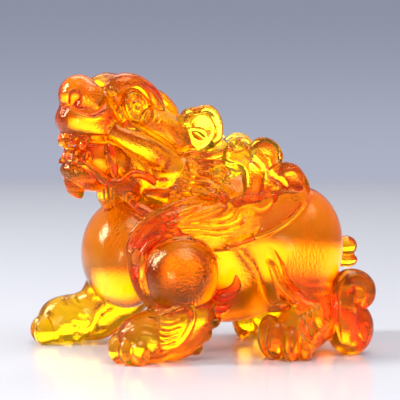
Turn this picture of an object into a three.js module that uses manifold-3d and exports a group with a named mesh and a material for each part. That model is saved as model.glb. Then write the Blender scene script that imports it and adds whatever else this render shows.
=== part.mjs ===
// A pixiu, the winged guardian beast of East Asia, cast as one piece of amber glass.
// It crouches with its chest out and its right forepaw ahead, the muzzle raised and turned to its
// left. Its wings sweep from the wrists over the shoulders, and its tail curls on either side.
// Frame: millimetres, +Z up, the beast facing -Y, its left side towards +X,
// the origin in the middle of its outline on the table.
import * as THREE from "three";
import { mergeVertices } from "three/addons/utils/BufferGeometryUtils.js";
import Module from "manifold-3d";

// Driving sizes.
const figureHeight = 105; // millimetres, table to the top of the brow
const headYaw = 22; // degrees that the head turns to the beast's left
const headPitch = 22; // degrees that the muzzle is raised
const stride = 22; // how far the right forepaw is set ahead, in hundredths of the height
const toeCount = 4; // toes on each paw
const featherCount = 5; // long feathers in each wing
const maneRows = 5; // locks of the mane on each side
const toothCount = 5; // front teeth in each row

// The pose, proportions and carving are drawn on a figure 100 high, and scaled at the end.
const headPlace = [2, -24.7, 76.7];
const tableBox = { width: 300, depth: 300, height: 100 }; // what is cut off below the soles
const shortestEdge = 1.2;
const leastTurn = 0.3; // a facet may tilt until its normal's cosine falls to this
const amber = { color: 0xf08a10, roughness: 0.12, metalness: 0, transparent: true, opacity: 0.85 };

const wasm = await Module();
wasm.setup();

const rad = THREE.MathUtils.degToRad;
const lerp = THREE.MathUtils.lerp;
const vec = ([x, y, z]) => new THREE.Vector3(x, y, z);
const between = (a, b, share) => a.map((value, i) => lerp(value, b[i], share));
const onSide = (side, points) => points.map(([x, y, z]) => [side * x, y, z]);
const count = (n, make) => Array.from({ length: n }, (_, i) => make(n > 1 ? i / (n - 1) : 0, i));

// An egg is a ball stretched to three half-widths, turned about x, y and z, and set at its centre.
function egg(centre, halves, { turn = [0, 0, 0], around = 12 } = {}) {
  const geometry = new THREE.SphereGeometry(1, around, Math.round(around * 0.55));
  geometry.rotateX(Math.PI / 2).scale(...halves);
  const [turnX, turnY, turnZ] = turn.map(rad);
  geometry.rotateX(turnX).rotateY(turnY).rotateZ(turnZ);
  return geometry.translate(...centre);
}

// A lock is a ball drawn out along a smooth curve. Its half-width runs through the widths given,
// its ends are rounded, and flat thins its section along the direction that it faces.
function lock(points, widths, { flat = 1, face = [1, 0, 0], sides = 6, steps = 8, blunt = 2.6 } = {}) {
  const curve = new THREE.CatmullRomCurve3(points.map(vec), false, "centripetal");
  const geometry = new THREE.SphereGeometry(1, sides, steps);
  const position = geometry.getAttribute("position");
  const facing = vec(face).normalize();
  for (let i = 0; i < position.count; i++) {
    const { x, y, z } = new THREE.Vector3().fromBufferAttribute(position, i);
    const along = THREE.MathUtils.clamp(Math.acos(THREE.MathUtils.clamp(y, -1, 1)) / Math.PI, 0, 1);
    const tangent = curve.getTangentAt(along);
    const across = new THREE.Vector3().crossVectors(facing, tangent).normalize();
    const outward = new THREE.Vector3().crossVectors(tangent, across).normalize();
    const rounding = Math.max(0, 1 - Math.abs(2 * along - 1) ** blunt) ** (1 / blunt);
    const spread = Math.hypot(x, z) < 1e-6 ? 0 : widthAt(widths, along) * rounding;
    const angle = Math.atan2(z, x);
    const place = curve
      .getPointAt(along)
      .addScaledVector(across, Math.cos(angle) * spread)
      .addScaledVector(outward, Math.sin(angle) * spread * flat);
    position.setXYZ(i, place.x, place.y, place.z);
  }
  return geometry;
}

// The half-width at a share of the length, from evenly spaced values.
function widthAt(widths, along) {
  const reach = along * (widths.length - 1);
  const step = Math.min(Math.floor(reach), widths.length - 2);
  return lerp(widths[step], widths[step + 1], reach - step);
}

// Points of a flat spiral: it starts on the first direction from the centre and turns towards
// the second one while its radius runs from the first value to the last.
function spiral(centre, first, second, radii, turns, steps = 6) {
  return count(steps, (share) => {
    const angle = share * turns * 2 * Math.PI;
    const radius = lerp(radii[0], radii[1], share);
    return vec(centre)
      .addScaledVector(vec(first).normalize(), Math.cos(angle) * radius)
      .addScaledVector(vec(second).normalize(), Math.sin(angle) * radius)
      .toArray();
  });
}

// The trunk: chest, barrel, rump and neck.
function trunk() {
  return [
    egg([0, -28.5, 35], [20, 15.5, 19.5], { around: 18 }),
    egg([0, 8, 37], [22.5, 30, 27.5], { around: 16 }),
    egg([0, 30, 37.5], [20.5, 19.5, 21], { around: 16 }),
    lock([[0, 4, 48], [0, -9, 58], [1, -20, 68]], [18, 14.5, 12.5], { sides: 10, steps: 6 }),
  ];
}

// How far a point of a foreleg is set ahead. The right leg is stretched, the more the lower.
function aheadOf(side, height) {
  return side > 0 ? 0 : stride * (1 - 0.8 * THREE.MathUtils.smoothstep(height, 10, 30));
}

// Points of a foreleg, given for the left one.
function onLeg(side, points) {
  return points.map(([x, y, z]) => [side * x, y - aheadOf(side, z), z]);
}

// Round toes about the front of a paw, from the outer one to the inner one. The heading and the fan
// are in degrees from straight ahead, and the reach and the rise run from outer to inner toe.
function toes(side, [x, y], heading, fan, reach, rise) {
  return count(toeCount, (share) => {
    const angle = rad(heading + fan * (1 - 2 * share));
    const ahead = lerp(reach[0], reach[1], share);
    const half = lerp(rise[0], rise[1], share);
    const centre = [x + side * Math.sin(angle) * ahead, y - Math.cos(angle) * ahead, half - 0.3];
    return egg(centre, [3.2, 4.4, half], { turn: [0, 0, (side * angle * 180) / Math.PI], around: 8 });
  });
}

// One foreleg: round shoulder, forearm and paw.
function foreLeg(side) {
  const [shoulder, paw, wrist] = onLeg(side, [[22, -12.7, 29.5], [24.5, -26, 8], [22.6, -19.6, 9.3]]);
  const arm = onLeg(side, [[20, -13, 28], [21, -11.8, 15], [22.4, -14.6, 4]]);
  return [
    egg(shoulder, [12.5, 13.2, 13.4], { around: 16 }),
    lock(arm, [11, 12, 7.4], { flat: 0.75, sides: 9, steps: 6 }),
    egg(wrist, [6.8, 10.4, 8.9], { around: 8 }),
    egg(paw, [7.8, 9.6, 8.9], { around: 10 }),
    ...toes(side, paw, 18, 52, [5.6, 8.7], [4.9, 5.2]),
  ];
}

// The tufts of a foreleg: the combed fan over the wrist and the pointed fur behind the elbow.
function legTufts(side) {
  const fan = count(3, (share) => {
    const root = between([28, -25, 15.6], [28.6, -22.6, 6.4], share);
    const middle = between([30.4, -17.4, 14.6], [30, -18.6, 5], share);
    const tip = between([30, -10, 19], [29, -13.4, 6.6], share);
    return lock(onLeg(side, [root, middle, tip]), [1.8, 2.6, 1.4], { sides: 5, steps: 5 });
  });
  const elbow = [
    [[22.5, -6, 23.5], [26, 3, 22.8], [26.4, 6, 29.8]],
    [[21.5, -7, 12.5], [24.6, -1.6, 11], [24.4, 1.6, 14.6]],
  ].map((path) => lock(onLeg(side, path), [3, 2.8, 1], { sides: 5, steps: 5 }));
  return [...fan, ...elbow];
}

// One haunch with its folded hind leg, its foot, the combed fur over the hock and the fold before it.
function hindLeg(side) {
  const [ankle, foot] = onSide(side, [[22, 32, 14], [24, 28, 8]]);
  const fur = count(3, (share) => {
    const root = between([28.4, 26, 16], [28, 35.4, 18.4], share);
    const tip = between([30, 34, 4], [28, 40.6, 13], share);
    const middle = between(root, tip, 0.5).map((value, i) => value + [1.6, -1.4, -2.4][i]);
    return lock(onSide(side, [root, middle, tip]), [1.6, 2.6, 1.6], { sides: 5, steps: 5 });
  });
  const fold = onSide(side, [[21.6, 17.4, 39.2], [25, 21, 27.8], [25.6, 30.2, 18.8], [25.6, 34.4, 17.6]]);
  return [
    egg([side * 11, 20.5, 43.5], [17, 18, 14.5], { around: 14 }),
    egg([side * 16, 31.6, 38.2], [15.6, 14.8, 20.8], { around: 18 }),
    egg(ankle, [8, 9, 12], { around: 10 }),
    egg(foot, [7.4, 8.6, 9.5], { around: 10 }),
    ...toes(side, foot, 43, 61, [6.2, 9.2], [5.2, 7.6]),
    lock(fold, [0.9, 2, 2, 1.4], { sides: 5, steps: 7 }),
    ...fur,
  ];
}

// One wing: long feathers start at the wrist, sweep up before the shoulder and over it, and lie on a
// web and on the plate that spreads over the flank.
function wing(side) {
  const upper = [
    [25, -22.6, 16.8], [22, -29.6, 33], [22.6, -28.2, 45.2],
    [22.5, -16.2, 53.4], [21, -4.2, 57.8], [21.4, 2.4, 55],
  ];
  const lower = [
    [26, -18.4, 17], [26.2, -22.6, 32], [27, -15.2, 38.8],
    [26.4, 0.3, 40.8], [25.4, 20, 45], [22.6, 31, 54],
  ];
  const feathers = count(featherCount, (share) => {
    const path = upper.map((point, i) => between(point, lower[i], share));
    return lock(onSide(side, path), [1.1, 1.4, 2, 2.5, 2.6, 1.2], { flat: 0.8, sides: 6, steps: 12 });
  });
  const webPath = onSide(side, [
    [24.2, -20.5, 17], [22.4, -25.4, 33], [22.4, -24.4, 39],
    [22.2, -19.6, 45], [21.6, -10, 49.5], [20.4, -2, 53],
  ]);
  const platePath = onSide(side, [
    [20.5, -25, 40], [21.8, -11, 46.6], [22.2, 1, 46.2], [23.4, 11, 49.4],
    [25.6, 20, 51.8], [26.8, 26.4, 55.6], [24, 29.4, 61],
  ]);
  const web = lock(webPath, [2.4, 5, 6, 6.2, 5.2, 3], { flat: 0.5, sides: 7, steps: 7 });
  const plate = lock(platePath, [4, 5.6, 7.8, 8, 7.8, 7, 4], { flat: 0.4, sides: 8, steps: 8 });
  const blade = egg([side * 17, -2, 48], [7, 12, 6.5], { around: 9 });
  return [...feathers, web, plate, blade, ...plumes.flatMap((plume) => plumeOf(side, plume))];
}

// The comma-shaped plumes that end the wing: a flat round head that stands above the back, the line
// of the band that turns down and forwards from it, and the hollow carved in its head.
const plumes = [
  {
    head: { centre: [18.6, 8, 69.6], halves: [3.6, 5.4, 6.5] },
    band: [[18.6, 9, 70], [20.2, 13, 64.6], [22, 12.4, 57.4], [22.6, 8.6, 53.4]],
    hollow: { centre: [23, 8, 71], halves: [2.4, 3.8, 4] },
  },
  {
    head: { centre: [19, 17.2, 69.4], halves: [3.8, 6.3, 6.7] },
    band: [[19, 17, 70], [21, 20.2, 63.6], [22.6, 17, 57], [23.4, 11, 52.6]],
    hollow: { centre: [23.6, 17.6, 70.6], halves: [2.6, 4.2, 4.2] },
  },
  {
    head: { centre: [22, 25.6, 59.6], halves: [4.4, 6.6, 8.4] },
    band: [[22, 25, 61], [24.2, 27.4, 54], [25, 21.6, 49.6], [25, 12, 48]],
    hollow: { centre: [27, 26, 61.4], halves: [2.6, 4.4, 4.2] },
  },
];

function plumeOf(side, { head, band }) {
  const [centre] = onSide(side, [head.centre]);
  return [
    egg(centre, head.halves, { around: 12 }),
    lock(onSide(side, band), [3.8, 4.6, 3.6, 1.6], { flat: 0.6, sides: 6, steps: 8 }),
  ];
}

// What is carved out of the wings.
function wingCuts() {
  return [1, -1].flatMap((side) =>
    plumes.map(({ hollow }) => egg(onSide(side, [hollow.centre])[0], hollow.halves, { around: 8 })),
  );
}

// The mane: locks that fall back from behind each cheek over the neck and turn up at the end, and
// two round curls, on a swelling of the neck.
function mane(side) {
  const locks = count(maneRows, (share) => {
    const root = between([11.5, -8, 70.4], [10, -25, 51.6], share);
    const middle = between([15, 0, 69.4], [17.4, -12, 49.4], share);
    const tip = between([17, 7, 72], [20.6, -2, 50], share);
    return lock(onSide(side, [root, middle, tip]), [2.4, 3, 1.8], { sides: 6, steps: 7 });
  });
  return [
    egg([side * 9.5, -6, 62], [6.4, 11, 10], { around: 10 }),
    egg([side * 17.6, 2.2, 63.8], [2.8, 3, 3], { around: 7 }),
    egg([side * 19.6, 2.7, 55.6], [2.8, 3, 3], { around: 7 }),
    ...locks,
  ];
}

// The tail: two knobs at its root, and on each side a broad band that rises and scrolls outwards.
function tail() {
  const knobs = [
    egg([0.6, 52, 36], [3.6, 4.4, 4], { around: 8 }),
    egg([1.4, 52.4, 31], [2.5, 4.2, 3], { around: 8 }),
  ];
  const bands = [1, -1].flatMap((side) => {
    const scroll = spiral([22, 49.4, 21.2], [0, -0.6, 1], [0, 1, 0.6], [6, 4.2], 0.6);
    const path = onSide(side, [[22.6, 46, 5], [22.6, 45.2, 13], [22.2, 44.2, 19], ...scroll]);
    return [
      egg([side * 17.6, 40.6, 16], [6, 7, 10], { around: 8 }),
      egg([side * 22.6, 47.6, 9], [7.2, 9.2, 10.3], { around: 11 }),
      egg([side * 20.6, 49.6, 20.6], [4, 6.4, 6.6], { around: 8 }),
      lock(path, [6.6, 6.4, 5.6, 4.6, 3.8, 3.2, 3, 3, 2.8], { sides: 8, steps: 14 }),
    ];
  });
  return [...knobs, ...bands];
}

// The head, in its own frame: x to the beast's left, -y out of the face, +z up through the crown.
function headMasses() {
  const horn = [[0, -10, 12], [0, -3, 14], [0, 3, 14.6], [0, 9, 13.2], [0, 16, 9.4]];
  const beard = [[0, -6, -19], [0, -4, -23], [0, -2, -27]];
  const chinLeaf = [[0, -20, -23], [0, -16, -25.5], [0, -13, -27.5]];
  return [
    egg([0, 3, 1.6], [11.5, 16, 12], { around: 15 }),
    egg([0, -17.5, -0.8], [9.5, 12.6, 8.5], { around: 14 }),
    egg([0, -22.6, -4.2], [8.9, 8.3, 6.2], { around: 12 }),
    egg([0, -26.5, 4.8], [7, 7.4, 7.2], { around: 11 }),
    egg([0, -9.5, 5.5], [8.8, 11, 8], { around: 12 }),
    egg([0, -8.4, -12.5], [7.8, 12.8, 7.6], { around: 11 }),
    egg([0, -14.5, -20.3], [7.6, 9, 4.8], { around: 11 }),
    egg([0, 4, -12.4], [9.7, 13, 11.4], { around: 12 }),
    lock(horn, [2.2, 3.6, 3.8, 3.2, 1.4], { sides: 6, steps: 8 }),
    lock(beard, [4.6, 4.4, 2.8], { face: [0, 1, 0], flat: 0.7, steps: 4 }),
    lock(chinLeaf, [2.6, 3, 1.6], { sides: 5, steps: 4 }),
  ];
}

// The front teeth, an upper and a lower row in an arc between the lips.
function teeth() {
  return count(toothCount, (share) => {
    const swing = share * 2 - 1;
    const bend = 4.6 * swing * swing;
    return [
      egg([swing * 6.2, -26.4 + bend, -10], [1.7, 1.8, 3.2], { turn: [-8, 0, 0], around: 6 }),
      egg([swing * 5.2, -22.8 + 0.7 * bend, -16.2], [1.5, 1.7, 3], { turn: [-8, 0, 0], around: 6 }),
    ];
  }).flat();
}

// One half of the face: nostril, lips, fang, brow, eye, temple and the scroll of the cheek.
function halfFace(side) {
  const put = (points) => onSide(side, points);
  const one = (point) => put([point])[0];
  const brow = [[6.2, -20, 10.4], [6.3, -16.4, 12.4], [6.6, -10, 14.6], [7.2, -3, 13.6], [8, 3, 10]];
  const temple = [[6, -10, 6], [9.4, 1, 5], [11.4, 11, 2.2], [11.6, 17.5, -1]];
  const ridge = [[8.4, -17, 7.4], [10, -9.4, 1.4], [11.4, -1, -1], [13.4, 9, -4.2]];
  const fang = [[8.6, -14.5, -8.4], [9, -10.8, -13.4], [8.8, -6.8, -19]];
  const lowerLip = [
    [2, -24.4, -19.4], [5, -21.5, -17.2], [7.2, -15.4, -18.4], [8.6, -8.8, -20.2], [10, -3.6, -16.4],
    [11.8, 2, -13.7], [13, 7.4, -14.4], [13.6, 10.6, -11.6], [12, 4.6, -8.6],
  ];
  const cheek = [
    [7, -16, -2.5], [9, -8, -3.6], [10.8, 1, -4.4], [12.2, 9, -6.6],
    [12.4, 15.2, -11.2], [11, 12.6, -17], [8.6, 5, -19.2],
  ];
  return [
    egg(one([4.8, -24.8, 4.8]), [4.5, 5.4, 5.2], { around: 9 }),
    lock(put(brow), [4.6, 4.9, 3.8, 3.2, 2], { sides: 7, steps: 8 }),
    egg(one([8.9, -9.6, 7.4]), [3.4, 5.4, 6.2], { turn: [-40, 0, 0], around: 10 }),
    lock(put(temple), [4.6, 5.6, 5, 2.4], { sides: 7, steps: 7 }),
    lock(put(ridge), [1.1, 1.5, 1.4, 0.9], { sides: 5, steps: 8 }),
    lock(put(cheek), [4.4, 4.6, 4.8, 4.6, 4.2, 3.8, 3], { sides: 7, steps: 11 }),
    lock(put(lowerLip), [1.5, 1.6, 1.8, 1.7, 1.7, 1.8, 1.7, 1.3], { sides: 6, steps: 14 }),
    lock(put(fang), [2.4, 2.2, 0.9], { sides: 6, steps: 5 }),
    ...ear(side),
  ];
}

// One leaf-shaped ear, laid back, with a raised rim and a curl at its root.
function ear(side) {
  const rim = onSide(side, [
    [13, 7.6, 6.4], [13.6, 7.8, 12], [15.4, 15.4, 16.4], [16, 21.4, 12], [15, 20.6, 4.6], [13.8, 13, 2],
  ]);
  return [
    egg([side * 12.2, 15.4, 8], [3.4, 7.4, 8.2], { turn: [-25, 0, side * -8], around: 9 }),
    egg([side * 13.6, 8.2, 9.6], [2.4, 2.4, 2.5], { around: 7 }),
    lock(rim, [1.5, 1.8, 1.9, 1.8, 1.5], { sides: 6, steps: 11 }),
  ];
}

// What is carved out of the head: the nostrils and the cups of the ears.
function headCuts() {
  return [1, -1].flatMap((side) => [
    egg([side * 5.4, -31, 2.4], [1.9, 3, 2.8], { around: 6 }),
    egg([side * 17, 15.6, 9.8], [4.2, 5, 5.6], { turn: [-25, 0, side * -8], around: 8 }),
  ]);
}

// A closed geometry as a solid that can be joined and cut.
function solidOf(geometry) {
  const bare = geometry.clone();
  bare.deleteAttribute("normal");
  bare.deleteAttribute("uv");
  const merged = mergeVertices(bare, 1e-4);
  return new wasm.Manifold(
    new wasm.Mesh({
      numProp: 3,
      vertProperties: merged.getAttribute("position").array,
      triVerts: new Uint32Array(merged.index.array),
    }),
  );
}

const joined = (geometries) => geometries.map(solidOf).reduce((whole, solid) => whole.add(solid));

// The head is made upright, then raised, turned and set on the neck.
function placeHead(geometries) {
  const turn = new THREE.Euler(rad(-headPitch), 0, rad(headYaw), "ZYX");
  const matrix = new THREE.Matrix4().makeRotationFromEuler(turn).setPosition(...headPlace);
  return geometries.map((geometry) => geometry.applyMatrix4(matrix));
}

// Draws together the ends of edges shorter than the limit, where that neither folds nor pinches the
// skin, so that the facets along the seams between forms stay few and sound. A corner on the table
// is only drawn to another one there, so that the soles stay flat.
function closeShortEdges(positions, corners, limit) {
  const places = count(positions.length / 3, (_, i) => new THREE.Vector3().fromArray(positions, i * 3));
  const faces = count(corners.length / 3, (_, i) => Array.from(corners.slice(i * 3, i * 3 + 3)));
  const facesAt = places.map(() => new Set());
  faces.forEach((face, i) => face.forEach((corner) => facesAt[corner].add(i)));
  const ring = (corner) => new Set([...facesAt[corner]].flatMap((i) => faces[i]));
  const areaOf = ([a, b, c]) =>
    new THREE.Vector3().crossVectors(b.clone().sub(a), c.clone().sub(a));
  const foldsOver = (kept, gone) =>
    [...facesAt[gone]].some((i) => {
      if (faces[i].includes(kept)) return false;
      const before = areaOf(faces[i].map((corner) => places[corner]));
      const after = areaOf(faces[i].map((corner) => places[corner === gone ? kept : corner]));
      return after.dot(before) < leastTurn * after.length() * before.length();
    });
  const onTable = (corner) => places[corner].z < 1e-4;
  const draw = (kept, gone) => {
    const shared = [...ring(kept)].filter((corner) => ring(gone).has(corner));
    if (shared.length !== 4 || foldsOver(kept, gone)) return false;
    if (onTable(gone) && !onTable(kept)) return false;
    for (const i of facesAt[gone]) {
      if (faces[i].includes(kept)) {
        faces[i].forEach((corner) => corner !== gone && facesAt[corner].delete(i));
        faces[i] = null;
      } else {
        faces[i] = faces[i].map((corner) => (corner === gone ? kept : corner));
        facesAt[kept].add(i);
      }
    }
    facesAt[gone].clear();
    return true;
  };
  for (let i = 0; i < faces.length; i++) {
    for (let edge = 0; faces[i] && edge < 3; edge++) {
      const [a, b] = [faces[i][edge], faces[i][(edge + 1) % 3]];
      if (places[a].distanceTo(places[b]) < limit && (draw(a, b) || draw(b, a))) edge = -1;
    }
  }
  const left = faces.filter(Boolean).flat();
  const used = [...new Set(left)];
  const newNumber = new Map(used.map((corner, i) => [corner, i]));
  return {
    places: used.map((corner) => places[corner]),
    triangles: left.map((corner) => newNumber.get(corner)),
  };
}

function buildFigure() {
  const sides = [1, -1];
  const face = sides.flatMap((side) => halfFace(side));
  const head = joined(placeHead([...headMasses(), ...teeth(), ...face]));
  const makers = [foreLeg, legTufts, hindLeg, wing, mane];
  const limbs = sides.flatMap((side) => makers.flatMap((make) => make(side)));
  const body = joined([...trunk(), ...tail(), ...limbs]).subtract(joined(wingCuts()));
  const carvedHead = head.subtract(joined(placeHead(headCuts())));
  const { width, depth, height } = tableBox;
  const belowTable = new THREE.BoxGeometry(width, depth, height).translate(0, 0, -height / 2);
  const figure = body.add(carvedHead).subtract(solidOf(belowTable));
  const { vertProperties, triVerts } = figure.getMesh();
  const { places, triangles } = closeShortEdges(vertProperties, triVerts, shortestEdge);
  const geometry = new THREE.BufferGeometry().setFromPoints(places);
  geometry.setIndex(triangles);
  geometry.computeBoundingBox();
  const { min, max } = geometry.boundingBox;
  geometry.translate(-(min.x + max.x) / 2, -(min.y + max.y) / 2, -min.z);
  const scale = figureHeight / (max.z - min.z);
  geometry.scale(scale, scale, scale);
  geometry.computeVertexNormals();
  return geometry;
}

const pixiu = new THREE.Mesh(buildFigure(), new THREE.MeshStandardMaterial(amber));
pixiu.name = "pixiu_figure";

const part = new THREE.Group();
part.name = "pixiu";
part.add(pixiu);

export default part;
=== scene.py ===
# A pixiu cast in one piece of amber glass, standing on a pale table.
# The casting's skin is worked out on a grid of distances, in units of about a hundredth of the
# figure's height, and put into metres in the frame's own place at the end.
import math
import bpy
import numpy as np
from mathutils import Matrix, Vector


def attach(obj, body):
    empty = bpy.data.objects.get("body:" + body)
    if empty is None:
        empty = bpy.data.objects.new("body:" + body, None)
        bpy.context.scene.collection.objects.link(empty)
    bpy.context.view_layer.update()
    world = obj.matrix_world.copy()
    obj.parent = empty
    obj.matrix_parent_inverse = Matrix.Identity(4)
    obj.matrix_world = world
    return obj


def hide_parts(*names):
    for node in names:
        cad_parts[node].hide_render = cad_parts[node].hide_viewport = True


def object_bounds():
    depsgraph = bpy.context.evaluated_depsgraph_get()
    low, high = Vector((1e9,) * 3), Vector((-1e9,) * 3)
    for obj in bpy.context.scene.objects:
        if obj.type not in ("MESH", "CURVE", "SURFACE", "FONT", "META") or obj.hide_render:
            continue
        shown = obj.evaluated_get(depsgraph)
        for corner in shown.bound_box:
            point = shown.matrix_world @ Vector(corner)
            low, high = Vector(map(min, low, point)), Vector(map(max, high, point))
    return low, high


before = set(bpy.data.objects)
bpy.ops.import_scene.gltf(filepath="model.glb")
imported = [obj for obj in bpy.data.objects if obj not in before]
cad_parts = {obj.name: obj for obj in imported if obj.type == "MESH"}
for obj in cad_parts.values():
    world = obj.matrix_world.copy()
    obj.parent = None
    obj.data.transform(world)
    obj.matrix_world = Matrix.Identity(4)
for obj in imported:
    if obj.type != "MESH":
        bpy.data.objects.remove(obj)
solidBox = [list(corner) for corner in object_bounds()]
print("frame loaded, solid box", solidBox)

casting = {
    "cell": 0.42,                     # step of the grid
    "low": (-43.0, -65.0, -1.5),      # the grid's corners
    "high": (43.0, 64.0, 104.0),
    "triangles": 194000,              # left after thinning
    "headPlace": (2.0, -24.7, 76.7),  # where the head's own frame stands
    "headYaw": 22.0,                  # degrees that the head turns to the beast's left
    "headPitch": 22.0,                # degrees that the muzzle is raised
    "stride": 22.0,                   # how far the right forepaw is ahead
    "strideHeights": (10.0, 30.0),    # the leg comes back towards the left one between these
    "strideLoss": 0.8,                # share of the stride that is gone above them
}


# clay: a grid of distances that forms are merged into and carved out of
farAway = 9.0    # distance where there is nothing yet
margin = 0.6     # how far past a form and its blend the grid is worked on


def newClay(low, high, cell):
    axes = [np.arange(low[i], high[i] + cell, cell, dtype=np.float32) for i in range(3)]
    field = np.full([len(a) for a in axes], farAway, np.float32)
    return {"low": np.array(low, np.float32), "cell": cell, "axes": axes, "field": field}


clay = newClay(casting["low"], casting["high"], casting["cell"])
cube = [(a, b, c) for a in (0, 1) for b in (0, 1) for c in (0, 1)]


def window(low, high):
    # the grid between two corners, as slices and as x, y and z values that broadcast
    cuts, values = [], []
    for i in range(3):
        first = max(int(math.floor((low[i] - clay["low"][i]) / clay["cell"])), 0)
        last = int(math.ceil((high[i] - clay["low"][i]) / clay["cell"])) + 1
        cuts.append(slice(first, max(last, first + 1)))
        values.append(clay["axes"][i][cuts[i]])
    cuts = [slice(c.start, c.start + len(v)) for c, v in zip(cuts, values)]
    return tuple(cuts), values[0][:, None, None], values[1][None, :, None], values[2][None, None, :]


def merge(cuts, distance, blend, carve=False):
    # smooth minimum: the lesser distance, less a quarter of the squared overlap within the blend;
    # carving is the same on the turned-about field
    old = clay["field"][cuts]
    if carve:
        old = -old
    overlap = np.clip(blend - np.abs(old - distance), 0, None)
    merged = np.minimum(old, distance) - overlap * overlap / (4 * blend)
    clay["field"][cuts] = -merged if carve else merged


def turned(x, y, z):
    # turns about x, then y, then z, in degrees
    a, b, c = np.radians([x, y, z])
    rx = np.array([[1, 0, 0], [0, math.cos(a), -math.sin(a)], [0, math.sin(a), math.cos(a)]])
    ry = np.array([[math.cos(b), 0, math.sin(b)], [0, 1, 0], [-math.sin(b), 0, math.cos(b)]])
    rz = np.array([[math.cos(c), -math.sin(c), 0], [math.sin(c), math.cos(c), 0], [0, 0, 1]])
    return rz @ ry @ rx


bodyPlace = {"turn": np.eye(3), "origin": np.zeros(3)}
headPlace = {"turn": turned(-casting["headPitch"], 0, casting["headYaw"]),
             "origin": np.array(casting["headPlace"])}


def placed(points, place):
    return np.asarray(points, float) @ place["turn"].T + place["origin"]


def unit(vectors):
    return vectors / (np.linalg.norm(vectors, axis=-1, keepdims=True) + 1e-9)


def between(a, b, share):
    return np.asarray(a, float) * (1 - share) + np.asarray(b, float) * share


def onSide(side, points):
    return np.asarray(points, float) * [side, 1, 1]


def shares(count):
    return np.linspace(0, 1, count)


def egg(centre, halves, turn=(0, 0, 0), place=bodyPlace, blend=1.2, carve=False):
    # a ball stretched to three half-widths: the distance is k(k-1)/|p/h^2| with k = |p/h|
    middle, axes = placed(centre, place), place["turn"] @ turned(*turn)
    reach = np.sqrt(((axes * halves) ** 2).sum(1)) + blend + margin
    cuts, x, y, z = window(middle - reach, middle + reach)
    near, slope = 0, 0
    for k in range(3):
        ax, ay, az = axes[:, k]
        local = (x - middle[0]) * ax + (y - middle[1]) * ay + (z - middle[2]) * az
        near = near + (local / halves[k]) ** 2
        slope = slope + (local / halves[k] ** 2) ** 2
    near = np.sqrt(near)
    merge(cuts, (near * (near - 1) / np.sqrt(slope + 1e-9)).astype(np.float32), blend, carve)


def smoothPath(points, count):
    # a centripetal spline through the points, at equal steps of its length
    p = np.asarray(points, float)
    p = np.vstack([2 * p[0] - p[1], p, 2 * p[-1] - p[-2]])
    t = np.linspace(0, 1, 12, endpoint=False)[:, None]    # twelve steps from point to point
    rows = []
    for i in range(1, len(p) - 2):
        before, a, b, after = p[i - 1:i + 3]
        d0, d1, d2 = (max(np.linalg.norm(p[i + k] - p[i + k - 1]) ** 0.5, 1e-4) for k in range(3))
        m1 = ((a - before) / d0 - (b - before) / (d0 + d1) + (b - a) / d1) * d1
        m2 = ((b - a) / d1 - (after - a) / (d1 + d2) + (after - b) / d2) * d1
        rows.append(a + m1 * t + (3 * (b - a) - 2 * m1 - m2) * t ** 2
                    + (2 * (a - b) + m1 + m2) * t ** 3)
    rows = np.vstack(rows + [p[-2][None]])
    length = np.concatenate([[0], np.cumsum(np.linalg.norm(np.diff(rows, axis=0), axis=1))])
    want = np.linspace(0, length[-1], count)
    return np.stack([np.interp(want, length, rows[:, k]) for k in range(3)], 1)


def alongPath(path, reach):
    # the grid near a path, taken one straight step at a time: the step's window inside the path's,
    # the offset from the path, the step's direction and the share of it
    cuts = window(path.min(0) - reach, path.max(0) + reach)[0]
    pieces = []
    for i, (a, b) in enumerate(zip(path[:-1], path[1:])):
        part, px, py, pz = window(np.minimum(a, b) - reach, np.maximum(a, b) + reach)
        part = tuple(slice(q.start - c.start, q.stop - c.start) for q, c in zip(part, cuts))
        step = b - a
        dx, dy, dz = px - a[0], py - a[1], pz - a[2]
        t = np.clip((dx * step[0] + dy * step[1] + dz * step[2]) / (step @ step + 1e-9), 0, 1)
        dx, dy, dz = dx - t * step[0], dy - t * step[1], dz - t * step[2]
        pieces.append((i, part, dx, dy, dz, unit(step), t))
    return cuts, pieces


def lock(points, widths, flat=1.0, face=(1, 0, 0), place=bodyPlace, blend=0.7, steps=20,
         blunt=2.6, ribs=0, ribDepth=0.0):
    # a ball drawn out along a curve: its half-width runs through the widths and closes at the ends
    # as (1 - |2t - 1|^blunt)^(1/blunt); flat thins it along its face, and ribs furrow it lengthwise
    path = placed(smoothPath(points, steps + 1), place)
    share = shares(steps + 1)
    radius = np.interp(share, shares(len(widths)), widths)
    radius = radius * np.clip(1 - np.abs(2 * share - 1) ** blunt, 0, 1) ** (1 / blunt)
    facing = unit(place["turn"] @ np.asarray(face, float))
    cuts, pieces = alongPath(path, radius.max() * max(1, flat) + blend + margin)
    distance = np.full([c.stop - c.start for c in cuts], farAway, np.float32)
    for i, part, dx, dy, dz, tangent, t in pieces:
        across = unit(np.cross(facing, tangent))
        outward = np.cross(tangent, across)
        side = dx * across[0] + dy * across[1] + dz * across[2]
        out = dx * outward[0] + dy * outward[1] + dz * outward[2]
        ahead = dx * tangent[0] + dy * tangent[1] + dz * tangent[2]
        width = radius[i] + t * (radius[i + 1] - radius[i])
        if ribs:
            furrow = 0.5 + 0.5 * np.cos(ribs * np.arctan2(out / flat, side))
            width = width * (1 - ribDepth * furrow)
        found = np.sqrt(side ** 2 + (out / flat) ** 2 + ahead ** 2) - width
        np.minimum(distance[part], found, out=distance[part])
    merge(cuts, distance, blend)


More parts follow.
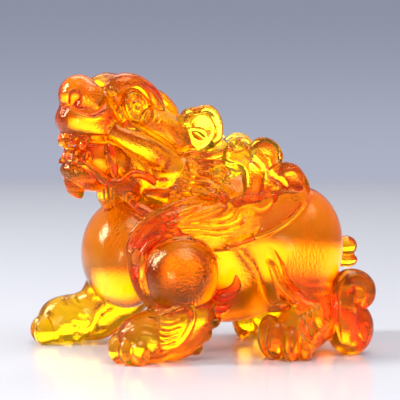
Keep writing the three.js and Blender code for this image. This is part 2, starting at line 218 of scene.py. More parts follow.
def skinAt(points):
    # the distance and its slope at any points, from the eight grid values around each
    spot = (points - clay["low"]) / clay["cell"]
    base = np.clip(np.floor(spot).astype(int), 0, np.array(clay["field"].shape) - 2)
    share = spot - base
    value, slope = np.zeros(len(points)), np.zeros((len(points), 3))
    for corner in cube:
        here = clay["field"][base[:, 0] + corner[0], base[:, 1] + corner[1], base[:, 2] + corner[2]]
        weight = [share[:, i] if corner[i] else 1 - share[:, i] for i in range(3)]
        value += here * weight[0] * weight[1] * weight[2]
        for i in range(3):
            others = weight[(i + 1) % 3] * weight[(i + 2) % 3]
            slope[:, i] += here * (1 if corner[i] else -1) * others / clay["cell"]
    return value, slope


def ontoSkin(points, rounds=8, leastSlope=0.5, longest=0.8):
    # each point goes down the slope to where the distance is nothing, by no more than the longest
    # move in a round
    for _ in range(rounds):
        value, slope = skinAt(points)
        move = slope * (value / np.maximum((slope ** 2).sum(1), leastSlope ** 2))[:, None]
        size = np.linalg.norm(move, axis=1, keepdims=True)
        points = points - move * np.minimum(1, longest / (size + 1e-9))
    return points


def line(points, width, depth, place=bodyPlace, steps=24, ends=(0.15, 0.15)):
    # a furrow along a curve on the skin, or a welt where the depth is less than nothing:
    # the depth falls off as exp(-(s / width)^2) with the distance s, and towards both ends
    path = ontoSkin(placed(smoothPath(points, steps + 1), place))
    cuts, pieces = alongPath(path, 2.4 * width + 0.5)    # further out the furrow is nothing
    near = np.full([c.stop - c.start for c in cuts], farAway ** 2, np.float32)
    taper = np.zeros_like(near)
    for i, part, dx, dy, dz, _, t in pieces:
        square = dx ** 2 + dy ** 2 + dz ** 2
        share = (i + t) / steps
        fade = np.clip(np.minimum(share / ends[0], (1 - share) / ends[1]), 0, 1)
        closer = square < near[part]
        near[part] = np.where(closer, square, near[part])
        taper[part] = np.where(closer, fade, taper[part])
    clay["field"][cuts] += depth * taper * np.exp(-near / width ** 2)


def oval(centre, along, across, halves, width, depth, place=bodyPlace, reach=3.0):
    # a furrow or welt round an oval on the skin, at the distance s from it
    middle, turn = placed(centre, place), place["turn"]
    u, v = unit(turn @ np.asarray(along, float)), unit(turn @ np.asarray(across, float))
    size = max(halves) + reach
    cuts, x, y, z = window(middle - size, middle + size)
    dx, dy, dz = x - middle[0], y - middle[1], z - middle[2]
    a = (dx * u[0] + dy * u[1] + dz * u[2]) / halves[0]
    b = (dx * v[0] + dy * v[1] + dz * v[2]) / halves[1]
    away = dx ** 2 + dy ** 2 + dz ** 2 - (a * halves[0]) ** 2 - (b * halves[1]) ** 2
    s = (np.sqrt(a ** 2 + b ** 2) - 1) * (halves[0] * halves[1]) ** 0.5
    furrow = depth * np.exp(-(s / width) ** 2) * (away < reach ** 2)
    clay["field"][cuts] += furrow.astype(np.float32)


# the forms
def makeTrunk():
    # barrel, rump, neck and chest
    egg((0, 8, 37), (22.5, 30, 27.5), blend=3)
    egg((0, 30, 37.5), (20.5, 19.5, 21), blend=6)
    lock([[0, 4, 48], [0, -9, 58], [1, -20, 68]], [18, 14.5, 12.5], blend=5, steps=12)
    egg((0, -28.5, 35), (20, 15.5, 19.5), blend=1.0)


def aheadOf(side, height):
    # the right foreleg is stretched ahead, the more the lower, by a smooth step between two heights
    low, high = casting["strideHeights"]
    t = np.clip((height - low) / (high - low), 0, 1)
    return 0 if side > 0 else casting["stride"] * (1 - casting["strideLoss"] * t * t * (3 - 2 * t))


def onLeg(side, points):
    p = np.asarray(points, float)
    return np.stack([side * p[:, 0], p[:, 1] - aheadOf(side, p[:, 2]), p[:, 2]], 1)


toes = {"count": 4, "halves": (3.2, 4.4), "sunk": 0.3}    # sunk below the table, then cut flat


def makeToes(side, centre, heading, fan, reach, rise):
    # round toes about the front of a paw, from the outer one to the inner one
    for share in shares(toes["count"]):
        angle = math.radians(heading + fan * (1 - 2 * share))
        way = np.array([side * math.sin(angle), -math.cos(angle), 0])
        ahead = reach[0] + (reach[1] - reach[0]) * share
        half = rise[0] + (rise[1] - rise[0]) * share
        toe = np.array([centre[0], centre[1], half - toes["sunk"]]) + way * ahead
        egg(toe, (*toes["halves"], half), turn=(0, 0, math.degrees(math.atan2(way[1], way[0])) + 90),
            blend=0.5)


def makeForeLeg(side):
    shoulder, paw, wrist = onLeg(side, [[22, -12.7, 29.5], [24.5, -26, 8], [22.6, -19.6, 9.2]])
    lock(onLeg(side, [[20, -13, 28], [21, -11.8, 15], [22.4, -14.6, 4]]), [11, 12, 7.4], flat=0.75,
         blend=2)
    egg(wrist, (6.6, 10.2, 8.8), blend=3)
    egg(paw, (7.6, 9.4, 8.8), blend=3)
    egg(shoulder, (12.5, 13.2, 13.4), blend=1.0)
    makeToes(side, paw, 18, 52, (5.6, 8.7), (4.9, 5.2))


fanRim = [[29, -26, 18.4], [30, -20.6, 17.6], [30.6, -14.6, 19.2], [30.6, -10.8, 19.6],
          [30.4, -9.6, 16.4], [30.4, -11.4, 10.8], [30.2, -14.8, 6.4], [29.8, -19.4, 3.2],
          [29.4, -23, 4.6]]
tufts = {"elbowLocks": 4, "fanFurrows": 7, "weltDrops": (0, 3.2)}


def makeLegTufts(side):
    # the combed fan over the wrist, rimmed, and the curls of fur behind the elbow
    egg(onLeg(side, [[26, -17.5, 11]])[0], (4.6, 7.4, 7.6), blend=1.5)
    lock(ontoSkin(onLeg(side, fanRim)), [0.8, 1.1, 1.2, 1.1, 0.9], blend=0.4, steps=36)
    lock(onLeg(side, [[23.5, -1.5, 22.5], [25.8, 2.6, 22.8], [26.6, 6, 25.6], [26.4, 6, 29.8]]),
         [2.6, 2.4, 2.0, 1.0], blend=0.8)
    for share in shares(tufts["elbowLocks"]):
        root = between([22.8, -3, 19], [22, -9.5, 5.5], share)
        tip = between([25, 4.6, 19.8], [24, -5.6, 5.4], share)
        lock(onLeg(side, [root, between(root, tip, 0.55) + [1.6, 0, -1.8], tip]), [1.9, 2.0, 0.9],
             blend=0.6, steps=10)


def combLegTufts(side):
    for share in shares(tufts["fanFurrows"]):    # from the wrist back to the rim
        front = between([29, -24, 17.6], [29, -22.6, 5.4], share)
        rear = between([30, -11.8, 17.6], [29.8, -16, 5.6], share)
        line(onLeg(side, [front, between(front, rear, 0.5) + [1.4, 0, -1.4], rear]), 0.5, 1.0)
    line(onLeg(side, [[29, -24, 4.4], [30, -20.7, 1.8], [30, -14.5, 3.4], [28, -9, 7]]), 0.6, 0.8)
    for drop in tufts["weltDrops"]:    # welts over the wrist
        line(onLeg(side, [[30, -31, 10.6 - drop], [30, -27, 13.4 - drop], [30, -23, 12 - drop]]),
             0.7, -0.6)


hock = {"strands": 6, "top": ((29.4, 27, 15.6), (28.6, 35, 18.6)),
        "tip": ((30.6, 33.5, 3.2), (28.6, 40.6, 13.4))}


def makeHindLeg(side):
    ankle, foot = onSide(side, [[22, 33, 14], [24, 28, 8]])
    egg(ankle, (8, 9.6, 12), blend=1.5)
    egg(foot, (7.2, 8.4, 9.4), blend=1.5)
    egg((side * 11, 21, 44), (16.5, 17, 13.5), blend=5)
    egg((side * 16, 31.6, 38.2), (15.6, 14.8, 20.8), blend=5)
    makeToes(side, foot, 43, 61, (6.2, 9.2), (5.2, 7.6))
    for share in shares(hock["strands"]):    # combed fur over the hock
        root, tip = between(*hock["top"], share), between(*hock["tip"], share)
        sag = between(root, tip, 0.5) + [2.2, -1.4, -2.6]
        lock(ontoSkin(smoothPath(onSide(side, [root, sag, tip]), 7)), [1.0, 1.3, 1.4, 1.0],
             blend=0.2, steps=16)
    lock(onSide(side, [[26, 24, 18.5], [28, 20, 18.2], [28, 16.4, 16.6]]), [2.4, 1.8, 0.6],
         blend=0.8, steps=10)
    crease = [[24, 18, 40], [27, 19.3, 34.3], [27.6, 21.5, 28.6], [28, 25.5, 23.4],
              [28, 30.8, 19.6], [28, 35, 18.4]]
    lock(onSide(side, [[p[0] - 2.4, p[1] - 0.6, p[2] - 0.8] for p in crease]),
         [0.8, 1.6, 2.0, 2.0, 1.4], blend=0.5)


def combHindLeg(side):
    crease = [[25, 18.6, 40.4], [27, 20, 34.6], [27.6, 22.3, 29], [28, 26.2, 24], [28, 31.2, 20.4],
              [28, 35, 19.2]]
    line(onSide(side, crease), 0.8, 1.3)


strands = [
    # each long strand of a wing, from the wrist, before the shoulder and up over it
    [[25, -22.6, 16.8], [23.6, -27.6, 24.4], [22, -29.6, 33], [22, -30.4, 39], [22.6, -28.2, 45.2],
     [23, -23, 50], [22.5, -16.2, 53.4], [21.5, -9.5, 55.8], [21, -4.2, 57.8]],
    [[25.4, -21.6, 17.2], [24.4, -26.6, 25], [23, -28, 33], [23, -28.2, 38.6], [23.8, -24.8, 44.2],
     [24, -19.6, 47.6], [23.6, -13, 50.2]],
    [[25.8, -20.4, 17.4], [25, -25.6, 25.4], [24.2, -26.2, 33], [24.4, -25.6, 38.4],
     [24.8, -21.4, 42.8], [25, -15.8, 45.6]],
    [[26, -19.4, 17.2], [25.6, -24.4, 25.6], [25.2, -24.4, 32.8], [25.6, -22.4, 37.6],
     [26, -18, 41]],
    [[26, -18.4, 17], [26, -23, 25.8], [26.2, -22.6, 32], [26.6, -19.6, 36.2], [27, -15.2, 38.8],
     [26.8, -9, 40.2], [26.4, -2, 39.6]],
]
plateRim = [[26, -3.9, 38.6], [26, 0.4, 38.9], [26, 5, 39.9], [26.6, 10.9, 41.8],
            [27.8, 19.1, 45.2], [29, 25.4, 49.6], [28.6, 28.8, 53.4], [26, 31.4, 58.6]]
featherLines = [
    # the dark edge of each feather that lies on the plate, with its width and depth
    ([[23, -24.1, 42.1], [23.5, -18.7, 47.5], [23.5, -14, 49.4], [23, -9.2, 50.6], [22, -3.5, 54.2],
      [21.5, -1.2, 56.6]], 0.7, 1.5),
    ([[23.5, -20, 50.4], [23, -13, 52.6], [22, -6, 55.6], [21, -2.4, 58.4]], 0.45, 0.8),
    ([[23.5, -24.2, 41], [24, -18.8, 45.3], [24, -13.2, 47.1], [23.5, -3.4, 49.1], [23, 2.7, 51.5],
      [22.5, 5.4, 54.4], [22, 5.8, 57.2]], 0.7, 1.6),
    ([[24, -12, 48.6], [24, -6.1, 50], [23.5, -0.9, 51.8], [23, 1.8, 53.6], [22.5, 2.4, 56]], 0.45,
     0.9),
    ([[24.5, -23.7, 40.4], [25, -20.1, 43.9], [25, -15, 45.8], [25, -9.6, 46.4], [25, -0.8, 45.5],
      [24.5, 5.3, 46.5], [24, 8.8, 49], [23.5, 8.9, 51.1]], 0.7, 1.6),
    ([[24.5, -10, 47.6], [24.5, -4, 47.4], [24.5, 1.8, 48], [24, 5.4, 49.8], [23.5, 6.8, 52.2]],
     0.45, 0.9),
    ([[25, -14, 44.6], [25, -6, 44.2], [25, 1, 43.4], [25, 6, 44.2]], 0.45, 0.8),
    ([[25.5, -22.4, 39.9], [26, -16.7, 42.5], [26, -10.1, 43.2], [26, -4.3, 41.8], [26, 3.2, 41.2],
      [26, 9, 42.8]], 0.65, 1.4),
    ([[25, 14.1, 50], [25.5, 14.8, 47.2], [26, 13.2, 43.2]], 0.5, 1.0),
    ([[24.5, 11.7, 52.2], [25, 14.1, 50.9], [25.5, 17.4, 51.8], [26, 21, 54.8]], 0.55, 1.1),
]
plumes = [
    # each comma-shaped plume: its head, the line of its middle with its half-widths, the hollow
    # carved in the head, its rim, and the dark line beside it
    {"head": (18.6, 8.0, 69.6), "halves": (3.4, 5.0, 6.2),
     "way": [[18.6, 9, 70], [19.4, 11.6, 67.6], [20.6, 13.4, 63.6], [22, 12.4, 57.4],
             [22.6, 8.6, 53.4]],
     "widths": [3.4, 4.4, 4.2, 3.4, 1.6], "cup": ((22.7, 8.0, 71.2), (2.2, 4.2, 4.4)),
     "rim": [[20.8, 4.0, 68.4], [20.6, 4.8, 72.4], [20.2, 7.8, 75.4], [20.2, 10.8, 75.8],
             [20.6, 11.8, 73.6]],
     "edge": [[20, 3.6, 67.8], [21, 7, 67], [21.6, 9.6, 64.4], [22, 9.8, 60.6], [22.5, 8.2, 57]]},
    {"head": (19, 17.2, 69.4), "halves": (3.6, 6.0, 6.4),
     "way": [[19, 17, 70], [20, 19, 67.4], [21.4, 20, 62.6], [22.6, 17, 57], [23.4, 11, 52.6]],
     "widths": [4.0, 5.0, 4.6, 3.4, 1.6], "cup": ((23.2, 17.6, 70.6), (2.4, 4.6, 4.6)),
     "rim": [[21.6, 12, 73.4], [21, 14.6, 75.6], [20.6, 18, 75.6], [20.8, 21.4, 73.4],
             [21.6, 23, 69.4], [22, 21.6, 66.4]],
     "edge": [[20.5, 11.4, 75], [21, 10.6, 71.4], [21.4, 13.6, 68.4], [22, 16.4, 65.5],
              [22.4, 16.4, 61.4], [22.8, 14.2, 57.4], [23, 11.6, 55]]},
    {"head": (22, 25.6, 59.6), "halves": (4.2, 6.4, 8.2),
     "way": [[22, 25, 61], [23.4, 27, 58], [24.4, 26.6, 53.4], [25, 21.6, 49.6], [25, 12, 48]],
     "widths": [4.6, 5.6, 5.2, 3.6, 1.8], "cup": ((26.2, 26, 61.4), (2.4, 4.8, 4.4)),
     "rim": [[23.6, 19.6, 65.6], [23.4, 23, 67.6], [23.4, 28.2, 65.4], [24, 31.4, 60.4],
             [24.6, 31.4, 54.8], [25.6, 28.6, 50.6]],
     "edge": [[21.5, 18.8, 69], [22.4, 18, 65.6], [23, 19, 63.2], [24, 22.6, 61],
              [24.4, 23.8, 58.4], [24.6, 22.4, 55.6], [24.6, 18, 54.4]]},
]


def makeWing(side):
    # the plate of the wing and its blade, then the strands and the plumes
    lock(onSide(side, [[20.5, -25, 40], [21.8, -11, 46.6], [22.2, 1, 46.2], [23.4, 11, 49.4],
                       [25.6, 20, 51.8], [26.8, 26.4, 55.6], [24, 29.4, 61]]),
         [4, 5.6, 7.8, 8.0, 7.8, 7.0, 4], flat=0.36, blend=2.0, steps=28)
    egg((side * 17, -2, 48), (7, 12, 6.5), blend=1.5)
    # the web that the strands lie on
    lock(onSide(side, [[24.6, -20.5, 17], [23, -25, 25], [22, -26, 33], [22, -25.2, 39],
                       [22.2, -20, 45], [21.6, -10, 49.5], [20.4, -2, 53]]),
         [2.4, 4, 5, 5.6, 6, 5.2, 3], flat=0.4, blend=0.6, steps=32)
    for plume in plumes[::-1]:
        egg(onSide(side, [plume["head"]])[0], plume["halves"], blend=0.4)
        lock(onSide(side, plume["way"]), plume["widths"], flat=0.6, blend=0.4, steps=28)
    for points in strands:
        lock(onSide(side, points), [0.8, 1.0, 1.15, 1.2, 1.2, 1.0, 0.4], flat=0.8, blend=0.3,
             steps=44)
    lock(onSide(side, plateRim), [0.5, 0.9, 1.0, 1.0, 1.0, 0.9, 0.6], blend=0.5, steps=36)
    for plume in plumes:
        spot, halves = plume["cup"]
        egg(onSide(side, [spot])[0], halves, blend=0.5, carve=True)
        lock(onSide(side, plume["rim"]), [0.7, 1.0, 1.0, 0.7], blend=0.4, steps=20)


def combWing(side):
    for plume in plumes:
        edge = onSide(side, plume["edge"])
        line(edge, 0.8, 1.5)
        line(edge + [0, 1.2, 1.0], 0.5, -0.5)
    for points, width, depth in featherLines:
        line(onSide(side, points), width, depth, steps=40, ends=(0.2, 0.06))
        line(onSide(side, points) + [0, 0.3, 1.3], width * 0.8, -0.5, steps=40)


manes = [
    # each lock of the mane, from behind the cheek to its curled end
    ([[11.5, -8, 70.4], [13.5, -2, 69.6], [15.4, 3.6, 70.8], [16.4, 7.6, 74]],
     [2.2, 2.4, 2.0, 1.0]),
    ([[11, -8.4, 67], [13.6, -1.8, 67.6], [15.6, 3.4, 66.8], [17, 6.6, 66.6], [17.4, 7.4, 64.4],
      [17.2, 5.2, 62.8], [17, 3.2, 63.8]], [2.2, 2.3, 2.2, 2.0, 1.7, 1.0]),
    ([[11, -8.8, 64], [14, -2.4, 64.2], [16.6, 2, 62.2], [18.4, 6, 60.4]], [2.2, 2.3, 2.0, 1.0]),
    ([[11.5, -9.4, 61], [15, -3.6, 61], [17.4, 0.6, 59.6], [19.2, 3.6, 58]], [2.2, 2.3, 2.0, 1.0]),
    ([[12.5, -10.4, 58], [16, -4.4, 57.4], [18.2, 0, 56.6], [19.4, 3, 55.6], [19.6, 4.6, 53],
      [19.4, 2.6, 50.8], [19.2, 0.6, 51.8]], [2.2, 2.3, 2.2, 2.0, 1.7, 1.0]),
    ([[13, -13, 55], [16.4, -7.4, 53.4], [18.8, -2, 52.6], [20.2, 2, 51]], [2.0, 2.2, 1.9, 1.0]),
    ([[12.5, -17.5, 52.6], [16.6, -11.4, 50], [19.2, -5, 49.6], [20.6, 1.4, 49.8]],
     [1.8, 2.1, 1.8, 0.9]),
    ([[7, -31.5, 57.4], [11.5, -26, 52.8], [15.5, -18.6, 48.8], [18.6, -10.6, 47.4]],
     [1.4, 2.0, 1.9, 1.0]),
    ([[5, -33.5, 54.6], [10, -28.5, 50.4], [15, -21.5, 46.8], [19, -14, 45.6]],
     [1.1, 1.7, 1.6, 0.8]),
]
# each curl's middle and half-width, and how many hairs are combed in a row
curls = [((17.4, 2.2, 63.8), 2.6), ((19.6, 2.7, 55.6), 2.5), ((16.6, 8.2, 74), 1.8)]
hair = {"neck": 9, "underJaw": 3, "belowCheek": 3}


def makeMane(side):
    # a swelling of the neck, combed locks over it, and the curls that they end in
    egg((side * 9.5, -6, 62), (6, 10.5, 9.5), blend=2)
    for points, widths in manes:
        lock(onSide(side, points) + [side * 0.8, 0, 0], widths, blend=0.3, ribs=6, ribDepth=0.16,
             steps=28)
    for centre, size in curls:
        egg(onSide(side, [centre])[0], (2.4, size, size), blend=0.4)


def combMane(side):
    for centre, size in curls:
        oval(onSide(side, [centre])[0], (0, 1, 0), (0, 0, 1), (size * 0.55, size * 0.55), 0.4, 0.6)
        oval(onSide(side, [centre])[0], (0, 1, 0), (0, 0, 1), (size * 1.15, size * 1.15), 0.4, 0.5)
    for share in shares(hair["neck"]):    # between the fringe and the curls
        line(onSide(side, [between([13, -7.4, 69.6], [14, -11, 54.4], share),
                           between([15, -2.6, 69.2], [17, -5, 53.2], share),
                           between([16, 2.6, 68.6], [19, 0, 52.4], share)]), 0.4, 0.7)
    for share in shares(hair["underJaw"]):
        line(onSide(side, [between([6, -29, 56.6], [4, -33.4, 56], share),
                           between([11.5, -23.4, 51.6], [10, -27, 50.6], share),
                           between([16, -16, 49.4], [15, -19.6, 46.4], share)]), 0.45, 0.8)


def spiral(centre, first, second, radii, turns, steps=6):
    # a flat spiral whose radius runs evenly from the first value to the last
    share = shares(steps)[:, None]
    angle, radius = share * turns * 2 * math.pi, radii[0] + (radii[1] - radii[0]) * share
    return np.asarray(centre) + radius * (np.cos(angle) * unit(np.array(first, float))
                                          + np.sin(angle) * unit(np.array(second, float)))


def makeTail():
    # the knob over the tail, and on each side a tuft that ends in a scroll
    egg((0.6, 52.6, 36), (3.5, 4.0, 3.8), blend=0.8)
    egg((1.4, 52.6, 31), (2.3, 4.0, 2.7), blend=0.8)
    for side in (1, -1):
        scroll = spiral([23, 49.4, 21.2], [0, -0.6, 1], [0, 1, 0.6], [6, 4.2], 0.6)
        egg((side * 17.6, 40.6, 16), (6, 7, 10), blend=2.0)
        egg((side * 21.2, 48.4, 9.2), (6, 8.4, 9.8), blend=2.0)
        egg((side * 20.4, 49.8, 20.6), (3.8, 6, 6.2), blend=1.0)
        lock(onSide(side, np.vstack([[[23.4, 46, 4], [23.6, 45.4, 12], [23.4, 44.4, 18]], scroll])),
             [6.2, 6.2, 5.6, 4.8, 4.0, 3.4, 3.1, 2.9, 2.4], blend=0.5, steps=36)


def combTail(side):
    line(onSide(side, [[28, 43, 3], [28, 42, 10], [27.6, 41.6, 19], [26.4, 42.6, 24.6],
                       [25, 46, 28.6], [24.4, 50, 29.2], [24.4, 54, 27.4], [24.6, 56, 23.6]]),
         0.5, 0.8)
    line(onSide(side, [[28, 49, 8.6], [28, 51, 5], [27, 53.4, 2]]), 0.55, 0.8)
    line(onSide(side, [[27, 51.6, 16], [26.4, 52, 11.6], [25.6, 54.4, 9.4]]), 0.55, 0.8)


# the head, in its own frame: x to the beast's left, -y out of the face, z up through the crown
head = {"place": headPlace}
teeth = {"count": 6, "lean": (-8, 0, 0), "curve": 4.6}    # the curve sets the row's ends back


def makeHead():
    # throat, skull, bridge of the nose, inside of the mouth, lower jaw, muzzle, lip and nose
    egg((0, 4, -12.4), (9.7, 13, 11.4), blend=3, **head)
    egg((0, 3, 1.6), (11.5, 16, 12), blend=2, **head)
    egg((0, -9.5, 5.5), (8.8, 11, 8), blend=2, **head)
    egg((0, -8, -12.5), (7.4, 12.6, 7.6), blend=1.5, **head)
    egg((0, -14.5, -20.3), (7.6, 9, 4.8), blend=0.6, **head)
    egg((0, -17.5, -0.8), (9.5, 12.6, 8.3), blend=2.5, **head)
    egg((0, -23.0, -4.2), (8.8, 8.2, 6.0), blend=4, **head)
    egg((0, -26.5, 4.8), (7, 7.4, 7.2), blend=2, **head)
    # the horn, laid back along the crown
    lock([[0, -10, 12], [0, -3, 14], [0, 3, 14.6], [0, 9, 13.2], [0, 16, 9.4]],
         [2.2, 3.6, 3.8, 3.2, 1.4], blend=0.6, steps=28, **head)
    # the beard and the tuft under the chin
    lock([[0, -6, -19], [0, -4, -23], [0, -2, -27]], [4.6, 4.4, 2.8], face=(0, 1, 0), flat=0.7,
         blend=0.8, ribs=12, ribDepth=0.25, **head)
    lock([[0, -20, -23], [0, -16, -25.5], [0, -13, -27.5]], [2.6, 3, 1.6], blend=0.6, **head)
    egg((0, -15.5, -14.2), (5, 9.6, 2.6), blend=0.6, **head)    # tongue
    for share in shares(teeth["count"]):    # front teeth, an upper and a lower row
        swing = share * 2 - 1
        arc, lean = swing * swing * teeth["curve"], teeth["lean"]
        egg((swing * 6.2, -26.6 + arc, -10.2), (1.45, 1.6, 3.2), lean, blend=0.25, **head)
        egg((swing * 5.2, -23.2 + 0.7 * arc, -16), (1.25, 1.5, 3.0), lean, blend=0.25, **head)
    for side in (1, -1):
        makeHalfFace(side)


lowerLip = [[2, -24.4, -19.4], [5, -21.5, -17.2], [7.2, -15.4, -18.4], [8.6, -8.8, -20.2],
            [9.6, -5, -18.4], [10.6, -2.5, -14.4], [11.8, 2, -13.7], [13, 7.4, -14.4],
            [13.6, 10.6, -11.6], [13.2, 8.4, -8.9], [12, 4.6, -8.6]]
beads = {
    # along the cheek, from its top to the jaw
    "middles": [[13.5, 16.7, -3.9], [13.5, 17.9, -5.6], [13.4, 18.8, -7.4], [13.2, 19.3, -9.4],
                [13, 19.1, -11.5], [12.6, 18.4, -13.7], [12, 17.1, -15.8], [11, 15.4, -17.8],
                [10, 13.6, -19.6]],
    "halves": (1.5, 1.3, 1.1),
    "leftShift": (6.5, -1.3, 0.5),    # the mane stands out further where the head turns to it
}
eye = {
    "middle": (10.8, -9.8, 7.3),
    "along": (0.1, 0.72, -0.69),
    "across": (0.1, 0.69, 0.72),
    # furrows and welts from the rim of the eye to its pupil: half-widths, width and depth
    "rings": (((6.2, 4.9), 0.6, 0.9), ((5.0, 3.9), 0.5, -0.5), ((2.6, 2.2), 0.45, 0.6),
              ((0.1, 0.1), 0.8, 0.7)),
}


def makeHalfFace(side):
    def put(points):
        return onSide(side, points)
    egg(put([4.8, -24.8, 4.8]), (4.5, 5.4, 5.2), blend=1.4, **head)    # nostril wing
    # cheek
    lock(put([[7, -16, -2.5], [9, -8, -3.6], [10.8, 1, -4.4], [12.2, 9, -6.6], [12.6, 15.2, -11.2],
              [11.6, 12.6, -17], [9, 5, -19.4]]), [4.2, 4.6, 4.8, 4.6, 4.2, 3.8, 2.8], blend=1.5,
         steps=32, **head)
    # temple
    lock(put([[6, -10, 6], [9.4, 1, 5], [11.4, 11, 2.2], [11.6, 17.5, -1]]), [4.6, 5.6, 5, 2.4],
         blend=0.8, **head)
    egg(put([8.9, -9.6, 7.4]), (3.4, 5.4, 6.2), turn=(-40, 0, 0), blend=0.6, **head)    # eyeball
    # brow, from its knob back
    lock(put([[6.2, -20, 10.4], [6.3, -16.4, 12.4], [6.6, -10, 14.6], [7.2, -3, 13.6], [8, 3, 10]]),
         [4.6, 4.9, 3.8, 3.2, 2.0], blend=0.8, **head)
    # upper lid
    lock(put([[8.6, -15.4, 13], [10, -10, 14], [10.8, -4.4, 12.4], [11.2, 0.4, 9.2], [11, 3, 6.6]]),
         [1.2, 1.7, 1.8, 1.6, 0.9], blend=0.5, **head)
    # lower lid
    lock(put([[8.4, -16.6, 8.8], [9.8, -14.4, 3.6], [10.6, -10, 0.6], [10.8, -4, 0],
              [11, 1.6, 1.4]]), [0.9, 1.2, 1.3, 1.2, 0.7], blend=0.6, **head)
    # ridge from muzzle to cheek
    lock(put([[6.4, -21.6, 9.4], [8.4, -17, 7.4], [9.7, -12.5, 4.7], [10, -9.4, 1.4],
              [10.6, -6, -0.6], [11.4, -1, -1], [12.4, 4, -2], [13.4, 9, -4.2]]),
         [0.6, 0.9, 1.0, 1.0, 1.0, 0.9, 0.8, 0.5], blend=0.9, steps=32, **head)
    # lower lip and the corner of the mouth
    lock(put(lowerLip), [1.3, 1.4, 1.5, 1.6, 1.6, 1.5, 1.5, 1.6, 1.6, 1.5, 1.0], blend=0.4,
         steps=44, **head)
    # canine
    lock(put([[8.6, -14.5, -8.4], [9, -10.8, -13.4], [8.8, -6.8, -19]]), [2.4, 2.2, 0.9], flat=0.8,
         blend=0.3, **head)
    spots = placed(put(beads["middles"]), headPlace)
    if side > 0:
        spots = spots + beads["leftShift"]
    for spot in ontoSkin(spots):
        egg(spot, beads["halves"], blend=0.2)
    makeEar(side, put)


def makeEar(side, put):
    # a leaf laid back: its plate, a raised rim, a carved cup and a curl at its root
    egg(put([12.2, 15.4, 8]), (3.2, 7.4, 8.2), turn=(-25, 0, side * -8), blend=0.8, **head)
    lock(put([[13, 7.6, 6.4], [13.6, 7.8, 12], [14.6, 11.7, 14.6], [15.4, 15.4, 16.4],
              [15.8, 18.4, 15.4], [16, 21.4, 12], [15.8, 22.4, 8.4], [15, 20.6, 4.6],
              [14.2, 16.8, 1.6], [13.8, 13, 2], [13.4, 10, 4.4]]),
         [1.2, 1.4, 1.5, 1.6, 1.6, 1.5, 1.4, 1.3, 1.1], blend=0.5, steps=44, **head)
    egg(put([17.0, 15.6, 9.8]), (4.2, 5.0, 5.6), turn=(-25, 0, side * -8), blend=0.6, carve=True,
        **head)
    egg(put([13.6, 8.2, 9.6]), (2.2, 2.2, 2.3), blend=0.4, **head)
    egg(put([15.8, 8.2, 9.6]), (1.2, 0.9, 1.0), blend=0.3, carve=True, **head)
    lock(put([[14, 12, 7.6], [14.4, 16, 8.4], [14.6, 19.6, 6]]), [0.8, 1.3, 0.8], blend=0.5, **head)


def combHead(side):
    def put(points):
        return onSide(side, points)
    # nostril
    egg(put([5.4, -31, 2.2]), (1.7, 2.6, 2.9), turn=(0, 0, side * -18), blend=0.6, carve=True,
        **head)
    line(put([[3.1, -30.9, 3.6], [4, -30, 0.4], [5.6, -27.9, -1.2], [7.4, -25.4, -1.5],
              [8.5, -22.8, 0.1], [8.6, -20.6, 3.6], [8, -20.6, 7]]), 0.8, 1.3, **head)
    line(put([[4, -30.4, -1.2], [5.6, -28, -2.6], [7.6, -25, -2.9], [8.8, -21.8, -1.2],
              [9, -19.4, 2.6]]), 0.6, -0.6, **head)
    # the groove below the nose
    line(put([[1.6, -31, 0.6], [1.8, -31, -2.4], [1.6, -30, -6]]), 0.6, 0.5, **head)
    # lip edge
    line(put([[3, -27.4, -8], [6, -23.4, -8.2], [8, -18.6, -7.2], [8.4, -14, -6.4]]), 0.5, 0.5,
         **head)
    line(put([[8.6, -13.4, -6.6], [9.4, -6.2, -8], [10.6, -2, -9], [12, 1.6, -9.8], [13.4, 6, -8]]),
         0.6, 0.6, **head)
    # under the temple
    line(put([[9.5, -9.1, -0.4], [10.1, -4.6, -0.2], [11.3, 0.6, 0.2], [12.6, 5.6, -0.6],
              [13.6, 10.6, -2.4]]), 0.7, 1.1, **head)
    for halves, width, depth in eye["rings"]:
        oval(put(eye["middle"]), put(eye["along"]), put(eye["across"]), halves, width, depth,
             **head)
    for shift in (0, 1.5):    # folds behind the eye
        line(put([[11, -3.6 + shift, 11.6], [11.4, -1.2 + shift, 7.4], [11, -2.4 + shift, 3.2]]),
             0.42, 0.4, **head)
    # behind the knob
    line(put([[8, -16.6, 8.4], [9, -15.6, 12], [9, -12.6, 15]]), 0.6, 0.7, **head)
    # the horn's foot
    line(put([[3.4, -6, 13.4], [4, 0, 14.4], [3.8, 6, 13.6], [2.6, 12, 11.6]]), 0.5, 0.7, **head)
    line(put([[2.2, -3, 16.4], [2.4, 2, 17.2], [2.2, 7, 16]]), 0.5, -0.4, **head)
    # the canine's edge, then the cheek's
    line(put([[9.6, -14, -10.4], [9.8, -11, -14], [9.4, -8, -17.6]]), 0.45, 0.4, **head)
    line(put([[12.8, 14.2, -9], [12.8, 14, -13.4], [11.4, 9.6, -16.6], [9.6, 3, -17.2]]), 0.5, 0.35,
         **head)
    for share in shares(hair["belowCheek"]):
        line(put([between([8.6, 1, -21.4], [6, -4, -22.4], share),
                  between([9.6, 7, -22.6], [7, 1, -24.4], share),
                  between([9.4, 12.4, -23], [7, 8, -26], share)]), 0.4, 0.4, **head)


def cutBelowTable():
    # the soles are flat: the distance is never less than the depth below the table
    z = clay["axes"][2][None, None, :]
    clay["field"] = np.maximum(clay["field"], -z)


